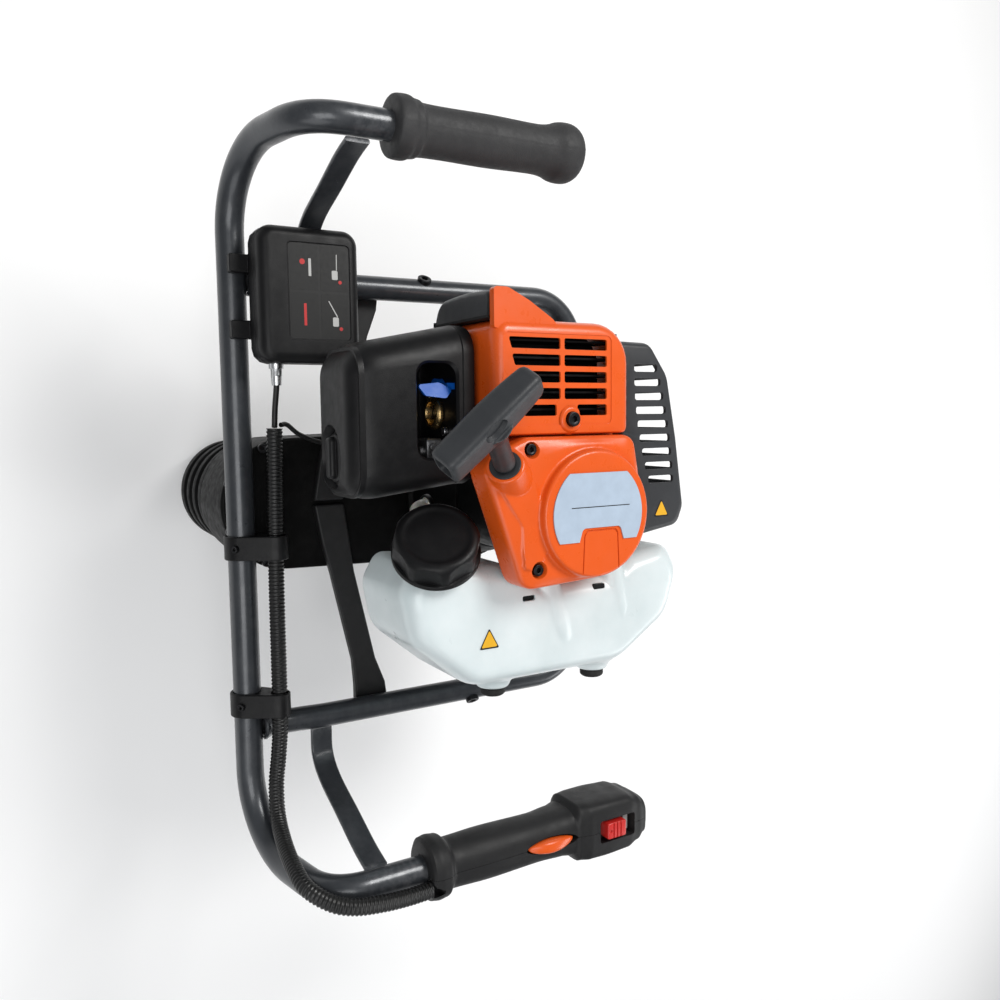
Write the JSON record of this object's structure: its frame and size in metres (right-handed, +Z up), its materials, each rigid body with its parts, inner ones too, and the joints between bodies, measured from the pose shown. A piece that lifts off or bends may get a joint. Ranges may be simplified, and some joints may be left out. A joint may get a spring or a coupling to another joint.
{
  "type": "ice auger power head",
  "caption": "Hand-held engine-driven auger power head with a tube handle frame, recoil starter, fuel tank and an offset gear case; the auger itself is not fitted.",
  "frame": {"origin": "centre of the output shaft's lower end face, on the auger axis", "axes": "+Z up along the auger and crank axes towards the starter; +Y from the operator's bar towards the engine; +X to the throttle grip"},
  "size_m": [0.6881, 0.3928, 0.5383],
  "materials": {
    "frame_paint": "satin slate grey paint on steel tube and strip",
    "black_paint": "satin black paint",
    "black_casting": "alloy casting with a fine-grained black coat",
    "cast_alloy": "raw die-cast alloy",
    "steel": "machined steel",
    "dark_screw": "black oxide screw",
    "grip_rubber": "dark grey moulded grip rubber",
    "foot_rubber": "black rubber buffer",
    "grip_plastic": "dark grey grained moulding",
    "black_plastic": "black grained moulding",
    "conduit_plastic": "black flexible sleeve",
    "grey_plastic": "graphite grey moulding",
    "orange_plastic": "semi-gloss orange moulding",
    "red_plastic": "gloss red moulding",
    "blue_plastic": "gloss blue moulding",
    "badge_plate": "pale blue-grey satin plate with no lettering",
    "tank_plastic": "milky translucent moulded plastic",
    "clear_rubber": "translucent soft moulding",
    "rope": "black braided starter cord"
  },
  "bodies": {
    "frame_and_engine": {"handle_bar": "frame_paint", "guard_loop": "frame_paint", "brace_left": "frame_paint", "brace_right": "frame_paint", "mount_arm_left": "black_paint", "mount_arm_right": "black_paint", "cable_conduit": "conduit_plastic", "box_cable": "conduit_plastic", "engine_cable": "conduit_plastic", "conduit_clip_upper": "black_plastic", "conduit_clip_lower": "black_plastic", "plain_grip": "grip_rubber", "grip_shell_inner": "grip_plastic", "grip_shell_outer": "grip_plastic", "control_box_base": "black_plastic", "control_box_lid": "black_plastic", "crankcase": "cast_alloy", "cylinder": "cast_alloy", "piston": "cast_alloy", "connecting_rod": "steel", "spark_plug": "steel", "cylinder_shroud": "orange_plastic", "plug_cover": "grey_plastic", "starter_housing": "orange_plastic", "starter_screw_1": "dark_screw", "starter_screw_2": "dark_screw", "shroud_screw": "dark_screw", "starter_badge": "badge_plate", "recoil_spring": "steel", "recoil_rope": "rope", "air_filter_base": "black_plastic", "air_filter_cover": "grip_plastic", "carburettor": "cast_alloy", "muffler": "steel", "muffler_cover": "grey_plastic", "fuel_tank": "tank_plastic", "tank_foot_1": "foot_rubber", "tank_foot_2": "foot_rubber", "clutch_housing": "black_casting", "gear_case": "black_casting", "gear_cover": "black_casting", "output_housing": "black_casting"},
    "crank": {"crankshaft": "steel", "flywheel": "cast_alloy", "clutch_hub": "steel"},
    "drum": {"clutch_drum": "steel", "drive_pinion": "steel"},
    "first_cluster": {"cluster_gear_1": "steel"},
    "second_cluster": {"cluster_gear_2": "steel"},
    "output": {"output_shaft": "steel"},
    "pulley": {"recoil_pulley": "grey_plastic"},
    "pull_handle": {"recoil_handle": "grey_plastic"},
    "trigger": {"throttle_trigger": "black_plastic"},
    "throttle_arm": {"throttle_lever": "steel"},
    "trigger_lock": {"throttle_lock": "orange_plastic"},
    "switch_slider": {"stop_switch": "red_plastic"},
    "choke": {"choke_lever": "blue_plastic"},
    "cap": {"fuel_cap": "black_plastic"},
    "cover_knob": {"filter_knob": "black_plastic"},
    "primer": {"primer_bulb": "clear_rubber"}
  },
  "joints": [
    {"name": "crank_spin", "type": "hinge", "parent": "frame_and_engine", "child": "crank", "pos_m": [0, 0.19, 0.365], "axis": [0, 0, 1], "continuous": true},
    {"name": "drum_spin", "type": "hinge", "parent": "frame_and_engine", "child": "drum", "pos_m": [0, 0.19, 0.24], "axis": [0, 0, 1], "continuous": true},
    {"name": "first_cluster_spin", "type": "hinge", "parent": "frame_and_engine", "child": "first_cluster", "pos_m": [0, 0.136, 0.2], "axis": [0, 0, 1], "continuous": true},
    {"name": "second_cluster_spin", "type": "hinge", "parent": "frame_and_engine", "child": "second_cluster", "pos_m": [0, 0.0735, 0.2], "axis": [0, 0, 1], "continuous": true},
    {"name": "output_spin", "type": "hinge", "parent": "frame_and_engine", "child": "output", "pos_m": [0, 0, 0.1], "axis": [0, 0, 1], "continuous": true},
    {"name": "recoil_pull", "type": "slide", "parent": "frame_and_engine", "child": "pull_handle", "axis": [-0.5111, -0.5681, 0.6451], "range_m": [0, 0.6], "stiffness_N_per_m": 15, "springref_m": -0.8, "deforming": ["recoil_rope"]},
    {"name": "pulley_spin", "type": "hinge", "parent": "frame_and_engine", "child": "pulley", "pos_m": [0, 0.19, 0.452], "axis": [0, 0, 1], "range_deg": [-1290, 0]},
    {"name": "trigger_squeeze", "type": "hinge", "parent": "frame_and_engine", "child": "trigger", "pos_m": [0.317, 0.232, 0.383], "axis": [-1, 0, 0], "range_deg": [0, 7], "stiffness_Nm_per_rad": 1, "springref_deg": -11.46},
    {"name": "throttle_turn", "type": "hinge", "parent": "frame_and_engine", "child": "throttle_arm", "pos_m": [-0.085, 0.122, 0.39], "axis": [0, 0, 1], "range_deg": [0, 50]},
    {"name": "lock_press", "type": "hinge", "parent": "frame_and_engine", "child": "trigger_lock", "pos_m": [0.317, 0.21, 0.407], "axis": [1, 0, 0], "range_deg": [0, 5], "stiffness_Nm_per_rad": 0.6, "springref_deg": -11.46},
    {"name": "switch_slide", "type": "slide", "parent": "frame_and_engine", "child": "switch_slider", "axis": [0, 1, 0], "range_m": [0, 0.006]},
    {"name": "choke_turn", "type": "hinge", "parent": "frame_and_engine", "child": "choke", "pos_m": [-0.107, 0.082, 0.403], "axis": [0, 1, 0], "range_deg": [0, 40]},
    {"name": "cap_unscrew", "type": "hinge", "parent": "frame_and_engine", "child": "cap", "pos_m": [0.029, 0.066, 0.426], "axis": [-0.7009, -0.2804, 0.6558], "range_deg": [0, 120]},
    {"name": "knob_turn", "type": "hinge", "parent": "frame_and_engine", "child": "cover_knob", "pos_m": [-0.05, -0.01, 0.392], "axis": [0, -1, 0], "range_deg": [0, 90]},
    {"name": "primer_press", "type": "slide", "parent": "frame_and_engine", "child": "primer", "axis": [0, 1, 0], "range_m": [0, 0.004], "stiffness_N_per_m": 300, "springref_m": -0.001, "deforming": ["primer_bulb"]}
  ],
  "couplings": [
    {"joint": "drum_spin", "follows": "crank_spin", "ratio": 1},
    {"joint": "first_cluster_spin", "follows": "crank_spin", "ratio": -0.33333},
    {"joint": "second_cluster_spin", "follows": "crank_spin", "ratio": 0.10526},
    {"joint": "output_spin", "follows": "crank_spin", "ratio": -0.042105},
    {"joint": "pulley_spin", "follows": "recoil_pull", "rad_per_m": -36.9},
    {"joint": "throttle_turn", "follows": "trigger_squeeze", "ratio": 7}
  ]
}
